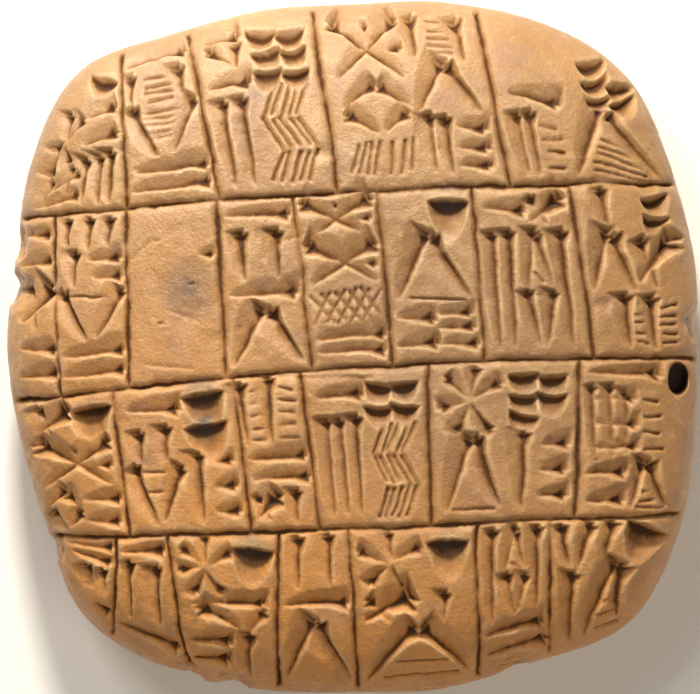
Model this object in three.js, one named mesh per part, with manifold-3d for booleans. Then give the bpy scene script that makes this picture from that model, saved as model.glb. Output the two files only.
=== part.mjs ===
// A flat pillow of clay, pressed full of stylus marks in ruled rows, lying on its plain back.
// Millimetres, +Z up out of the written face, +Y toward the top row, origin under the middle.

import * as THREE from "three";
import { ConvexGeometry } from "three/addons/geometries/ConvexGeometry.js";
import { mergeGeometries, mergeVertices } from "three/addons/utils/BufferGeometryUtils.js";
import Module from "manifold-3d";

const wasm = await Module();
wasm.setup();

// The pillow
const WIDTH = 85;
const LENGTH = 85;
const THICKNESS = 23;
const WAIST_HEIGHT = 10.5; // where the side reaches out furthest
const REST_WIDTH = 48; // flat middle of the back
const FACE_SHOULDER = 4.4; // the higher, the flatter the face and the tighter its edge
const BACK_SHOULDER = 2.4;
const ROLL = 2.2; // roundness of both edges
const NET_STEPS = 15; // steps across each side of the surface net

// How far the outline reaches from the middle, as a share of half the width, from +X anticlockwise
const REACH = [
  0.998, 1.02, 1.057, 1.112, 1.081, 1.03, 0.989, 1.006, 1.045, 1.12, 1.073, 1.009,
  0.999, 0.996, 1.026, 1.098, 1.073, 1.023, 0.996, 1.018, 1.049, 1.124, 1.084, 1.022,
];

// The reed stylus: its corner leaves wedges, with one gentle and one steep side, its edge rules
const HEAD_GENTLE = 1.5; // from the crease out to each corner of a full stroke's head
const HEAD_STEEP = 0.85;
const HEAD_DEPTH = 1.15;
const HEAD_SETBACK = 0.65; // from the head's edge to the deepest point
const LIGHT = 0.5; // size of a light stroke beside a full one
const RULE_WIDTH = 1.2;
const RULE_DEPTH = 0.65;

// Its round butt, pressed in at a slant in degrees, leaves short steep dents and long low scoops
const BUTTS = {
  dent: { radius: 1.95, deep: 1.4, slant: 34 },
  scoop: { radius: 2.3, deep: 2.1, slant: 25 },
};
const BUTT_SIDES = 9;

const LIFT = 1.2; // how far a cutter stands clear of the clay
const UNEVEN = 0.25; // how far a hand-pressed stroke strays
const WRITTEN_REACH = 0.985; // share of the outline that the rows fill
const PRESSED_REACH = 0.95; // share of the outline that a stroke keeps within
const RULED_REACH = 0.965;
const HUMP = 0.6; // a stroke ends where the clay would stand further than this above a straight cut
const SHORTEST = 1.3; // a stroke trimmed shorter than this is left out
const SHORTEST_BUTT = 0.2;
const EDGE_SHARE = 1.1; // safely beyond the outline, as a share of half the length

// A deep round pit near the right edge: its place as shares of half the width and length
const PIT = { x: 0.933, y: -0.091, wide: 2.5, long: 3.8, deep: 2.6, sides: 12 };

// Chips out of the edge: heading in degrees, height of the middle of the bite, and its size
const CHIPS = [
  { heading: 162.5, height: 14, size: 1.5 },
  { heading: 170, height: 13, size: 1.9 },
  { heading: 243, height: 13.5, size: 2 },
  { heading: 250.5, height: 13, size: 1.6 },
  { heading: 296.5, height: 14, size: 1.6 },
  { heading: 4, height: 14, size: 1.4 },
  { heading: 213.5, height: 14, size: 1.4 },
];
const CHIP_STRETCH = 2.4; // how much taller a bite is than wide

// The lines between rows: heights at the left edge, the middle and the right edge, as shares of
// half the length
const ROW_LINES = [
  [0.365, 0.44, 0.47],
  [-0.163, -0.06, -0.036],
  [-0.55, -0.518, -0.475],
];

// The lines that part each row into cases: x at the line above and at the line below, as shares
// of half the width
const CASE_LINES = [
  [[-0.84, -0.96], [-0.666, -0.645], [-0.478, -0.377], [-0.12, -0.039], [0.356, 0.446], [0.84, 0.95]],
  [
    [-0.95, -0.97], [-0.864, -0.841], [-0.648, -0.639], [-0.385, -0.359], [-0.172, -0.11],
    [0.069, 0.114], [0.342, 0.371], [0.619, 0.691], [0.96, 0.97],
  ],
  [
    [-0.96, -0.88], [-0.691, -0.642], [-0.339, -0.289], [-0.146, -0.091], [0.215, 0.221],
    [0.651, 0.639], [0.89, 0.93],
  ],
  [
    [-0.85, -0.73], [-0.684, -0.697], [-0.527, -0.483], [-0.214, -0.214], [-0.013, 0.013],
    [0.356, 0.362], [0.567, 0.561], [0.92, 0.77],
  ],
];

// Where the straight pieces of a line between rows meet, from its left end to its right one, and
// those of the lines between cases in each row, from below: closer together where the clay rolls
const ROW_STOPS = [-1, -0.92, -0.7, 0, 0.7, 0.92, 1];
const CASE_STOPS = [[0, 0.7, 1], [0, 1], [0, 1], [0, 0.3, 1]];

// What fills each case: a list is a stack from the top down, a list in it runs left to right, and
// so on inward. A number gives the share of what follows it. A word names a mark and how many.
const CASES = [
  [
    [["blank", "dents1"], 1.6, ["fan5", "bars2"], 1.5, ["grid2", "posts3"]],
    [0.8, "bars1", 1.2, "ladder4", 1.9, "funnel5", 1.3, "bars2"],
    [[[1.1, "hook", 0.7, "bars1", 2.2, "posts2"], 1.5, ["dents6", 1.6, "slats5"]]],
    [[1.1, [1.7, "cross", 1.3, "kite", ["hatch4", "hatch3"]],
      [1.3, "ladder5", 1.6, "tent0", 1.7, ["posts2", "bars3"]]]],
    [[1.2, "blank", "dents5"], 1.7, [["bars1", 2.2, ["posts2", "rungs4"]], 1.7, "tent5"]],
  ],
  [
    ["bars2", "wedge", "bars2"],
    [0.9, "posts3", ["posts1", "bars2"], 1.4, "funnel1", 1.1, "bars2"],
    ["blank"],
    [0.8, "bars1", 1.5, "posts2", 0.8, "bars1", 1.7, "tent0"],
    [1.4, "cross", 1.4, "cross", 1.3, "weave5", "bars2"],
    [["blank", "scoops1"], 1.9, "tent1", 1.4, ["bars2", "bars3"]],
    [[["bars1"], "wedge"], 3.2, [1.6, "posts2", 1.6, "leaf4", "posts1"]],
    [["posts1", "dents2"], 1.6, ["tent0", "wedge"], 1.4, ["blank", 2, "rail5"]],
  ],
  [
    [1.3, [1.2, "wedge", "scoops1"], 1.5, "cross", 1.3, ["kite", "bars2"]],
    [[1.2, ["bars1", "posts2", 1.6, "funnel2"], [1.5, "scoops2", 1.8, ["posts1", "bars3"]]]],
    [1.9, "rail5", 1.1, "bars2", ["wedge", "posts1"]],
    [[["bars1", 2.6, "posts3"], 1.2, ["dents4", 2.2, "slats5"]]],
    [[[1.2, "fan6", 1.5, "tent1"], ["dents5", 1.4, ["posts1", "bars3"]]]],
    [0.6, "bars1", 2, [1.4, "grid3", 0.7, "rungs4"], 1.3, ["bars2", "tent4"]],
  ],
  [
    ["bars2", "posts2", "bars1"],
    ["bars1", 2.4, "posts2", "bars1"],
    [1.6, [1.4, "fan6", "scoops1"], "hook", 1.2, ["bars2", "posts1"]],
    [1.6, "posts2", 0.8, "bars1", 1.8, "tent0"],
    [1.6, [1.4, "fan5", "scoops1"], 0.9, ["wedge", "posts1"], 1.5, "tent2"],
    [2.4, ["posts1", 1.4, "leaf4", "posts1"], "bars2"],
    [[1.2, "funnel0", "posts1", "scoops1"], 1.4, ["posts1", 1.4, "tent3"]],
  ],
];

// The back has two short rows of plain strokes near its top: line heights as shares of half the
// length, half the width of the rows as a share, and strokes in each row
const BACK_LINES = [0.72, 0.5, 0.28];
const BACK_SPAN = 0.56;
const BACK_STROKES = 7;

const mix = (a, b, t) => a + (b - a) * t;

// The outline: a smooth closed curve through the reaches, then sized to the width and length
function reachAt(heading) {
  const place = ((heading / (2 * Math.PI) + 1) % 1) * REACH.length;
  const k = Math.floor(place);
  const t = place - k;
  const [a, b, c, d] = [-1, 0, 1, 2].map((step) => REACH[(k + step + REACH.length) % REACH.length]);
  return 0.5 * (2 * b + (c - a) * t + (2 * a - 5 * b + 4 * c - d) * t ** 2
    + (3 * b - a - 3 * c + d) * t ** 3);
}

function outlineBox() {
  const box = new THREE.Box2();
  const steps = 720;
  for (let k = 0; k < steps; k += 1) {
    const heading = (k / steps) * 2 * Math.PI;
    const reach = reachAt(heading);
    box.expandByPoint(new THREE.Vector2(reach * Math.cos(heading), reach * Math.sin(heading)));
  }
  return box;
}

const BOX = outlineBox();
const MIDDLE = BOX.getCenter(new THREE.Vector2());
const SCALE = new THREE.Vector2(WIDTH, LENGTH).divide(BOX.getSize(new THREE.Vector2()));

// Share of the way from the middle to the outline at a place on the tablet
function shareOut(x, y) {
  const across = x / SCALE.x + MIDDLE.x;
  const up = y / SCALE.y + MIDDLE.y;
  return Math.hypot(across, up) / reachAt(Math.atan2(up, across));
}

function faceHeight(share) {
  const level = 1 - Math.min(share, 1) ** FACE_SHOULDER;
  return WAIST_HEIGHT + (THICKNESS - WAIST_HEIGHT) * level ** (1 / ROLL);
}

function backHeight(share) {
  const rest = REST_WIDTH / WIDTH;
  const out = Math.max(0, (Math.min(share, 1) - rest) / (1 - rest));
  return WAIST_HEIGHT * (1 - (1 - out ** BACK_SHOULDER) ** (1 / ROLL));
}

// A closed geometry as a solid that can be joined and cut
function solid(geometry) {
  geometry.deleteAttribute("normal");
  geometry.deleteAttribute("uv");
  const merged = mergeVertices(geometry);
  const index = merged.index.array;
  const triangles = [];
  for (let k = 0; k < index.length; k += 3) {
    const [a, b, c] = index.slice(k, k + 3);
    if (a !== b && b !== c && c !== a) {
      triangles.push(a, b, c);
    }
  }
  return new wasm.Manifold(new wasm.Mesh({
    numProp: 3,
    vertProperties: Float32Array.from(merged.attributes.position.array),
    triVerts: Uint32Array.from(triangles),
  }));
}

function joined(solids) {
  if (solids.length === 1) {
    return solids[0];
  }
  const half = Math.ceil(solids.length / 2);
  return joined(solids.slice(0, half)).add(joined(solids.slice(half)));
}

// One side of the pillow: a square net pulled out to the outline, finer toward the edge
function sheet(heightAt) {
  const net = new THREE.PlaneGeometry(2, 2, NET_STEPS, NET_STEPS);
  const knots = net.attributes.position;
  for (let k = 0; k < knots.count; k += 1) {
    const [a, b] = [knots.getX(k), knots.getY(k)];
    const ring = Math.max(Math.abs(a), Math.abs(b));
    const turn = Math.abs(a) >= Math.abs(b) ? b / (a || 1) : 2 - a / b;
    const heading = (Math.PI / 4) * turn + (ring === Math.abs(a) ? a < 0 : b < 0) * Math.PI;
    const share = Math.sin((ring * Math.PI) / 2);
    const reach = share * reachAt(heading);
    const across = (reach * Math.cos(heading) - MIDDLE.x) * SCALE.x;
    const up = (reach * Math.sin(heading) - MIDDLE.y) * SCALE.y;
    knots.setXYZ(k, across, up, heightAt(share));
  }
  return net;
}

// The bare pillow: its face and its back, which share the outline
function pillow() {
  const face = sheet(faceHeight);
  const back = sheet(backHeight);
  back.index.array.reverse();
  return solid(mergeGeometries([face, back]));
}

// A point on the written face, or on the back
function onFace(x, y) {
  return new THREE.Vector3(x, y, faceHeight(shareOut(x, y)));
}

function onBack(x, y) {
  return new THREE.Vector3(x, y, backHeight(shareOut(x, y)));
}

// Axes for a cutter pressed in from one point of the clay toward another
function pressAxes(surface, from, to) {
  const start = surface(...from);
  const end = surface(...to);
  const along = end.clone().sub(start).normalize();
  const step = 0.3;
  const side = [-along.y * step, along.x * step];
  const middle = [(from[0] + to[0]) / 2, (from[1] + to[1]) / 2];
  const left = surface(middle[0] + side[0], middle[1] + side[1]);
  const right = surface(middle[0] - side[0], middle[1] - side[1]);
  const across = left.sub(right).normalize();
  const out = along.clone().cross(across).normalize();
  if (surface === onBack) {
    out.negate();
  }
  return { start, along, across: out.clone().cross(along), out, length: start.distanceTo(end) };
}

// A point of the clay given along, across and out from where a press starts
function pressPoint(axes, along, across, out) {
  return axes.start.clone()
    .addScaledVector(axes.along, along)
    .addScaledVector(axes.across, across)
    .addScaledVector(axes.out, out);
}

// A stroke is a wedge: a triangle at the surface, from its broad head to its tip, over one deep
// point near the head. The gentle side is above a bar and left of a post.
function stroke(surface, mark) {
  const axes = pressAxes(surface, mark.from, mark.to);
  const depth = HEAD_DEPTH * mark.size;
  const [right, up] = [mark.to[0] - mark.from[0], mark.to[1] - mark.from[1]];
  const gentle = Math.sign(Math.abs(right) > Math.abs(up) ? right : up) * mark.size;
  const pit = pressPoint(axes, HEAD_SETBACK * mark.size, 0, -depth);
  const corners = [[0, HEAD_GENTLE * gentle], [0, -HEAD_STEEP * gentle], [axes.length, 0]];
  const raised = corners.map(([along, across]) => {
    const corner = pressPoint(axes, along, across, 0);
    return pit.clone().lerp(corner, (depth + LIFT) / depth);
  });
  return solid(new ConvexGeometry([pit, ...raised]));
}

// A dent of the stylus butt: a round bar, pressed in at a slant so that its flat end is the wall
function dent(mark) {
  const { radius, deep, slant } = BUTTS[mark.size];
  const axes = pressAxes(onFace, mark.from, mark.to);
  const angle = THREE.MathUtils.degToRad(slant);
  const lie = axes.along.clone().multiplyScalar(Math.cos(angle))
    .addScaledVector(axes.out, Math.sin(angle));
  const rise = axes.along.clone().multiplyScalar(-Math.sin(angle))
    .addScaledVector(axes.out, Math.cos(angle));
  const length = (deep + LIFT) / Math.sin(angle);
  const bar = new THREE.CylinderGeometry(radius, radius, length, BUTT_SIDES);
  bar.translate(0, length / 2, 0);
  const corner = pressPoint(axes, deep * Math.tan(angle), 0, -deep).addScaledVector(rise, radius);
  const turn = new THREE.Matrix4().makeBasis(lie.clone().cross(rise), lie, rise);
  bar.applyMatrix4(turn.setPosition(corner));
  return solid(bar);
}

// A ruled line: a V groove through the given points
function rule(surface, points) {
  const sections = points.map(([x, y], k) => {
    const [before, after] = [points[Math.max(k - 1, 0)], points[Math.min(k + 1, points.length - 1)]];
    const axes = pressAxes(surface, before, after);
    axes.start = surface(x, y);
    const raisedHalf = (RULE_WIDTH / 2) * ((RULE_DEPTH + LIFT) / RULE_DEPTH);
    return [[0, -RULE_DEPTH], [raisedHalf, LIFT], [-raisedHalf, LIFT]]
      .map(([across, out]) => pressPoint(axes, 0, across, out));
  });
  const pieces = [];
  for (let k = 1; k < sections.length; k += 1) {
    pieces.push(solid(new ConvexGeometry([...sections[k - 1], ...sections[k]])));
  }
  return joined(pieces);
}

// The last place on a path from 0 to 1 that is within a share of the outline
function lastWithin(path, reach) {
  let [low, high] = [0, 1];
  for (let k = 0; k < 20; k += 1) {
    const middle = (low + high) / 2;
    if (shareOut(...path(middle)) < reach) {
      low = middle;
    } else {
      high = middle;
    }
  }
  return low;
}

// Height of the line above a row at a place across, both as shares; the top line and the one under
// the last row follow the outline
function lineHeight(line, across) {
  if (line === 0 || line > ROW_LINES.length) {
    const furthest = line === 0 ? EDGE_SHARE : -EDGE_SHARE;
    const path = (t) => [(across * WIDTH) / 2, (t * furthest * LENGTH) / 2];
    return furthest * lastWithin(path, WRITTEN_REACH);
  }
  const [left, middle, right] = ROW_LINES[line - 1];
  return middle + ((right - left) / 2) * across + ((right + left) / 2 - middle) * across ** 2;
}

// A place in a case, from 0 to 1 across and up, in millimetres
function inCase(row, column, u, v) {
  const [left, right] = [CASE_LINES[row][column], CASE_LINES[row][column + 1]];
  const across = mix(mix(left[1], left[0], v), mix(right[1], right[0], v), u);
  const up = mix(lineHeight(row + 1, across), lineHeight(row, across), v);
  return [(across * WIDTH) / 2, (up * LENGTH) / 2];
}

// A steady stream of small numbers from -1 to 1, so that the hand's unevenness repeats
let drawn = 0;
function stray() {
  drawn += 1;
  const wave = Math.sin(drawn * 12.9898) * 43758.5453;
  return 2 * (wave - Math.floor(wave)) - 1;
}

// Evenly spaced places from 0 to 1
const spread = (count, margin = 0) => Array.from(
  { length: count },
  (_, k) => mix(margin, 1 - margin, (k + 0.5) / count),
);

const post = (u) => [[u, 0.98], [u, 0], 1];

const rungs = (count, low = 0.1, high = 0.9) => spread(count, 0.06)
  .map((v) => [[high, v], [low, v], LIGHT]);

// Each mark is a list of strokes in a cell that runs from 0 to 1 across and up: from, to, size.
// The size may be the name of a way to press the butt in.
const MARKS = {
  blank: () => [],
  posts: (count) => spread(count).map(post),
  bars: (count) => spread(count).reverse().map((v) => [[0.97, v], [0, v], 1]),
  rungs: (count) => rungs(count),
  ladder: (count) => [...[0.1, 0.84].map(post), ...rungs(count, 0.3, 0.72)],
  rail: (count) => [...[0.05, 0.5].map(post), ...rungs(count, 0.16, 0.4), ...rungs(count, 0.62, 0.92)],
  tent(count) {
    const rows = Array.from({ length: count }, (_, k) => 0.06 + (0.58 * k) / Math.max(count, 2));
    return [
      [[0.48, 0.98], [0.02, 0.02], 1.15],
      [[0.56, 0.95], [0.99, 0.04], 1.15],
      ...rows.map((v) => [[0.52 + 0.4 * (1 - v), v], [0.52 - 0.36 * (1 - v), v], LIGHT]),
    ];
  },
  funnel(count) {
    const rows = Array.from({ length: count }, (_, k) => 0.9 - (0.62 * k) / Math.max(count, 2));
    return [
      [[0.04, 0.98], [0.42, 0.02], 1],
      [[0.96, 0.98], [0.56, 0.02], 1],
      ...rows.map((v) => [[0.6 + 0.26 * v, v], [0.42 - 0.28 * v, v], LIGHT]),
    ];
  },
  fan: (count) => Array.from({ length: count }, (_, k) => {
    const heading = 0.5 + (5.7 * k) / count;
    const [c, s] = [Math.cos(heading), Math.sin(heading)];
    return [[0.5 + 0.54 * c, 0.5 + 0.54 * s], [0.5 + 0.05 * c, 0.5 + 0.05 * s], 0.9];
  }),
  slats(count) {
    const tiers = 3;
    return Array.from({ length: tiers }, (_, tier) => {
      const [low, high] = [1 - (tier + 1) / tiers, 1 - tier / tiers];
      const lean = tier % 2 ? -0.26 : 0.26;
      return spread(count, 0.14).map((u) => [[u + lean / 2, high], [u - lean / 2, low], 0.62]);
    }).flat();
  },
  cross: () => [
    [[0.06, 0.96], [0.95, 0.08], 1.15],
    [[0.95, 0.96], [0.04, 0.06], 1.15],
    [[0.5, 0.92], [0.5, 0.66], 0.8],
    [[0.94, 0.5], [0.72, 0.5], 0.8],
  ],
  kite: () => [
    [[0.5, 0.98], [0.05, 0.55], 1],
    [[0.58, 0.92], [0.96, 0.5], 1],
    [[0.08, 0.45], [0.5, 0.02], 1],
    [[0.94, 0.42], [0.55, 0.04], 1],
  ],
  grid: (count) => spread(count).flatMap((place) => [
    [[place, 0.98], [place, 0.02], 0.8],
    [[0.98, place], [0.02, place], 0.8],
  ]),
  weave: (count) => spread(count, 0.06).flatMap((u) => [
    [[u + 0.16, 0.95], [u - 0.16, 0.1], LIGHT],
    [[u - 0.16, 0.95], [u + 0.16, 0.1], LIGHT],
  ]),
  hatch: (count) => spread(count, 0.08).map((u) => [[u + 0.12, 0.95], [u - 0.12, 0.1], LIGHT]),
  leaf: (count) => [
    [[0.5, 0.98], [0.1, 0.5], 0.9],
    [[0.56, 0.94], [0.92, 0.5], 0.9],
    [[0.1, 0.5], [0.46, 0.02], 0.9],
    [[0.92, 0.48], [0.54, 0.02], 0.9],
    ...spread(count, 0.2).map((v) => [[0.66, v], [0.36, v + 0.06], LIGHT]),
  ],
  hook: () => [
    [[0.92, 0.88], [0.08, 0.74], 1],
    [[0.2, 0.62], [0.66, 0.08], 1],
    [[0.9, 0.66], [0.74, 0.02], 1],
  ],
  wedge: () => [[[0.92, 0.82], [0.06, 0.2], 1.5], [[0.14, 0.86], [0.5, 0.1], 1]],
  dents(count) {
    const columns = count > 2 ? 2 : 1;
    const rows = Math.ceil(count / columns);
    return Array.from({ length: count }, (_, k) => {
      const u = mix(0.5, (Math.floor(k / rows) + 0.5) / columns, 0.9);
      return [[u, 1 - ((k % rows) + 0.3) / rows], [u, 1 - ((k % rows) + 0.9) / rows], "dent"];
    });
  },
  scoops: (count) => Array.from({ length: count }, (_, k) => {
    const top = 1 - (k + 0.1) / count;
    return [[0.5, top], [0.5, top - 0.8 / count], "scoop"];
  }),
};

// Moves the far end of a line in until a straight cut along it keeps close under the clay
function trimmed(from, to) {
  const hump = (end) => {
    const middle = [(from[0] + end[0]) / 2, (from[1] + end[1]) / 2];
    return onFace(...middle).z - (onFace(...from).z + onFace(...end).z) / 2;
  };
  for (let t = 1; t > 0; t -= 0.05) {
    const end = [mix(from[0], to[0], t), mix(from[1], to[1], t)];
    if (shareOut(...end) < PRESSED_REACH && hump(end) < HUMP) {
      return end;
    }
  }
  return from;
}

// Turns what fills a cell into marks, each pressed from one place to another at a size
function fill(content, stacked, place, marks) {
  if (typeof content === "string") {
    const [, word, count] = content.match(/^([a-z]+)(\d*)$/);
    for (const [start, end, size] of MARKS[word](Number(count || 1))) {
      const [first, last] = [start, end]
        .map((point) => place(...point).map((value) => value + stray() * UNEVEN));
      const from = trimmed(last, first);
      const to = trimmed(from, last);
      const shortest = size in BUTTS ? SHORTEST_BUTT : SHORTEST;
      if (Math.hypot(from[0] - to[0], from[1] - to[1]) > shortest) {
        marks.push({ from, to, size });
      }
    }
    return;
  }
  const parts = [];
  let share = 1;
  for (const entry of content) {
    if (typeof entry === "number") {
      share = entry;
    } else {
      parts.push({ entry, share });
      share = 1;
    }
  }
  const whole = parts.reduce((sum, part) => sum + part.share, 0);
  const gap = 0.02 / parts.length;
  let done = 0;
  for (const part of parts) {
    const [low, high] = [done / whole + gap, (done + part.share) / whole - gap];
    const inner = (u, v) => (stacked
      ? place(mix(0.02, 0.98, u), mix(1 - high, 1 - low, v))
      : place(mix(low, high, u), v));
    fill(part.entry, !stacked, inner, marks);
    done += part.share;
  }
}

function faceMarks() {
  const marks = [];
  CASES.forEach((row, rowNumber) => {
    row.forEach((content, column) => {
      const place = (u, v) => inCase(rowNumber, column, mix(0.05, 0.96, u), mix(0.04, 0.97, v));
      fill(content, true, place, marks);
    });
  });
  return marks;
}

// The ruled lines of the face, each through a few points that crowd where the clay rolls over
function faceRules() {
  const rules = [];
  ROW_LINES.forEach((_, k) => {
    const lineAt = (across) => [(across * WIDTH) / 2, (lineHeight(k + 1, across) * LENGTH) / 2];
    const [left, right] = [-1, 1].map((side) => side * lastWithin((t) => lineAt(side * t), RULED_REACH));
    const places = ROW_STOPS.map((stop) => stop * (stop < 0 ? -left : right));
    rules.push(rule(onFace, places.map(lineAt)));
  });
  CASE_LINES.forEach((lines, row) => {
    for (let column = 1; column < lines.length - 1; column += 1) {
      const low = 0.5 - 0.5 * lastWithin((t) => inCase(row, column, 0, 0.5 - 0.5 * t), RULED_REACH);
      const high = 0.5 + 0.5 * lastWithin((t) => inCase(row, column, 0, 0.5 + 0.5 * t), RULED_REACH);
      const points = CASE_STOPS[row].map((stop) => inCase(row, column, 0, mix(low, high, stop)));
      rules.push(rule(onFace, points));
    }
  });
  return rules;
}

function backMarks() {
  const cuts = [];
  const span = (BACK_SPAN * WIDTH) / 2;
  for (const height of BACK_LINES) {
    const y = (height * LENGTH) / 2;
    cuts.push(rule(onBack, [[-span, y], [0, y], [span, y]]));
  }
  for (let row = 1; row < BACK_LINES.length; row += 1) {
    const top = (BACK_LINES[row - 1] * LENGTH) / 2;
    const bottom = (BACK_LINES[row] * LENGTH) / 2;
    for (let k = 0; k < BACK_STROKES - row; k += 1) {
      const x = mix(-span, span, (k + 0.5) / BACK_STROKES) + stray() * UNEVEN;
      const [from, to] = [0.2, 0.85].map((share) => [x, mix(top, bottom, share)]);
      cuts.push(stroke(onBack, { from, to, size: 1 }));
    }
  }
  return cuts;
}

function pit() {
  const place = onFace((PIT.x * WIDTH) / 2, (PIT.y * LENGTH) / 2);
  const hole = new THREE.CylinderGeometry(0.5, 0.5, PIT.deep + 2 * LIFT, PIT.sides);
  hole.rotateX(Math.PI / 2);
  hole.scale(PIT.wide, PIT.long, 1);
  return solid(hole.translate(place.x, place.y, place.z - PIT.deep / 2 + LIFT));
}

function chip({ heading, height, size }) {
  const angle = THREE.MathUtils.degToRad(heading);
  const x = (reachAt(angle) * Math.cos(angle) - MIDDLE.x) * SCALE.x;
  const y = (reachAt(angle) * Math.sin(angle) - MIDDLE.y) * SCALE.y;
  const bite = new THREE.IcosahedronGeometry(size, 0);
  return solid(bite.rotateZ(angle).scale(1, 1, CHIP_STRETCH).translate(x, y, height));
}

function inscribed() {
  const presses = faceMarks().map((mark) => (mark.size in BUTTS ? dent(mark) : stroke(onFace, mark)));
  const cuts = [...presses, ...faceRules(), ...backMarks(), pit(), ...CHIPS.map(chip)];
  return pillow().subtract(joined(cuts));
}

function geometryOf(body) {
  const { vertProperties, triVerts } = body.getMesh();
  const geometry = new THREE.BufferGeometry();
  geometry.setAttribute("position", new THREE.BufferAttribute(vertProperties, 3));
  geometry.setIndex(new THREE.BufferAttribute(triVerts, 1));
  geometry.computeVertexNormals();
  return geometry;
}

const clay = new THREE.MeshStandardMaterial({ color: 0xc89662, roughness: 0.55, metalness: 0 });
const tablet = new THREE.Mesh(geometryOf(inscribed()), clay);
tablet.name = "tablet";

const part = new THREE.Group();
part.add(tablet);

export default part;
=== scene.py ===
import math
import re

import bpy
import numpy as np
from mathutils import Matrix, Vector


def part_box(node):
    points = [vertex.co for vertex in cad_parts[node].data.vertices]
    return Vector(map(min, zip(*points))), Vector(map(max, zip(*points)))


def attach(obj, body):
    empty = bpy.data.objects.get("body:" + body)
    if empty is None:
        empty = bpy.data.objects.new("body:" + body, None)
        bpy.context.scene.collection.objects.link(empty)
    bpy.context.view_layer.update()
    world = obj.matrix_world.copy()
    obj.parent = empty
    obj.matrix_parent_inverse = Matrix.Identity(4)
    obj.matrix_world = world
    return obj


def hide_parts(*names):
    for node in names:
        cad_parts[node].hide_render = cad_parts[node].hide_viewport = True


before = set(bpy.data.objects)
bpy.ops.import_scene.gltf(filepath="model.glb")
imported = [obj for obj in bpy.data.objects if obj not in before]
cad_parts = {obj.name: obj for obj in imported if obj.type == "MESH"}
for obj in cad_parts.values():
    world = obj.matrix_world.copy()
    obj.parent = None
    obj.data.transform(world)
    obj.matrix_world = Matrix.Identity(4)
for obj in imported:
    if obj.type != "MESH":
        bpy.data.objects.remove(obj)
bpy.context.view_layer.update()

# The marks are laid out in millimetres, and the finished mesh is in metres
MM = 0.001
LOW, HIGH = (np.array(corner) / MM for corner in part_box("tablet"))
WIDTH, LENGTH, THICKNESS = HIGH - LOW

# The pillow, as the solid has it
WAIST_HEIGHT = 0.457 * THICKNESS
REST_SHARE = 0.565
FACE_SHOULDER = 4.4
BACK_SHOULDER = 2.4
ROLL = 2.2
REACH = [
    0.998, 1.02, 1.057, 1.112, 1.081, 1.03, 0.989, 1.006, 1.045, 1.12, 1.073, 1.009,
    0.999, 0.996, 1.026, 1.098, 1.073, 1.023, 0.996, 1.018, 1.049, 1.124, 1.084, 1.022,
]
NET_STEPS = 520
MOST_TRIANGLES = 197_000
SINK = 0.16  # the bare clay lies this far inside the solid, which leaves room for lips and swells

# Stylus marks: sizes of full strokes are near 1, and these sizes mean other kinds of mark
LIGHT = 0.5
LIGHTEST_WEDGE = 0.7
DENT = 0
SCOOP = -1

# How far the hand strays, how far out the marks reach as a share, and the shortest marks
UNEVEN = 0.25
WRITTEN_REACH = 0.985
SHORTEST = 1.3
SHORTEST_DENT = 0.2
LIP = 0.1  # how high pressed clay rises beside a mark
CASE_MARGINS = {"left": 0.05, "right": 0.96, "bottom": 0.04, "top": 0.97}
CELL_GAP = 0.02
NO_MARK = -9.0  # the depth that stands for clay with no mark near it
FAR_AWAY = 9.0  # the distance that stands for a line that isn't near

# A pressed butt: its depth and the slant at which the stylus is held, in degrees
SCOOP_SIZE = (2.1, 25)
DENT_SIZE = (1.4, 34)
DENT_RADIUS = 1.95

# Ruled lines: depth, half width and squareness of the narrow furrow and of the wide shallow one
FURROW = (0.5, 0.3, 1.6)
SHALLOW = (0.3, 0.85, 1.4)
# How the hand's press varies along a ruled line: how much, over what length, and seed
PRESSES = [(0.45, 6.0, 8), (0.25, 1.7, 15)]

# Wear: how much shorter chips are across than up and down, in the edge and in the face
EDGE_SQUASH = 0.42
FACE_SQUASH = 0.8
# Heading in degrees and height of the middle of each edge chip, its radius and its depth
EDGE_CHIPS = [
    (162.5, 14.0, 2.2, 1.1),
    (170, 13.0, 2.6, 1.3),
    (243, 13.5, 2.9, 1.3),
    (250.5, 13.0, 2.3, 1.0),
    (296.5, 14.0, 2.3, 1.2),
    (4, 14.0, 2.1, 0.8),
    (213.5, 14.0, 2.0, 0.9),
]
# x, y and height of the middle of each chip in the face, its radius and its depth
FACE_CHIPS = [
    (-23.0, 30.5, 21.5, 3.6, 0.35),
    (30.9, 5.1, 22.9, 1.5, 1.1),
    (-26.5, 36.0, 17.0, 1.8, 0.4),
    (36.5, 20.5, 19.0, 2.0, 0.5),
    (-3.5, 23.4, 22.9, 1.2, 0.4),
    (-38.5, 5.0, 20.0, 1.6, 0.4),
    (24.5, -37.0, 18.0, 1.6, 0.4),
]
# Scratches and a second ruled line: from, to, depth and width
SCRATCHES = [
    ((-12.2, -3.6), (2.1, -3.7), 0.3, 0.3),
    ((-26.6, 10.6), (-24.6, 12.7), 0.2, 0.2),
    ((-22.3, 4.4), (-18.6, 3.3), 0.14, 0.2),
    ((-24.8, -2.1), (-19.2, -2.6), 0.16, 0.22),
    ((20.5, 34.2), (25.4, 31.1), 0.14, 0.2),
    ((-9.8, 12.4), (-6.2, 13.5), 0.14, 0.2),
    ((6.5, -29.5), (9.2, -34.2), 0.16, 0.2),
    ((33.2, -14.8), (36.4, -18.9), 0.14, 0.2),
]
# Nicks, as short strokes: from, to and size
NICKS = [
    ((-16.7, 11.2), (-18.7, 11.0), 0.85),
    ((-22.9, 3.1), (-23.5, 2.9), 0.4),
    ((-19.2, 7.8), (-19.9, 7.5), 0.4),
]
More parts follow.
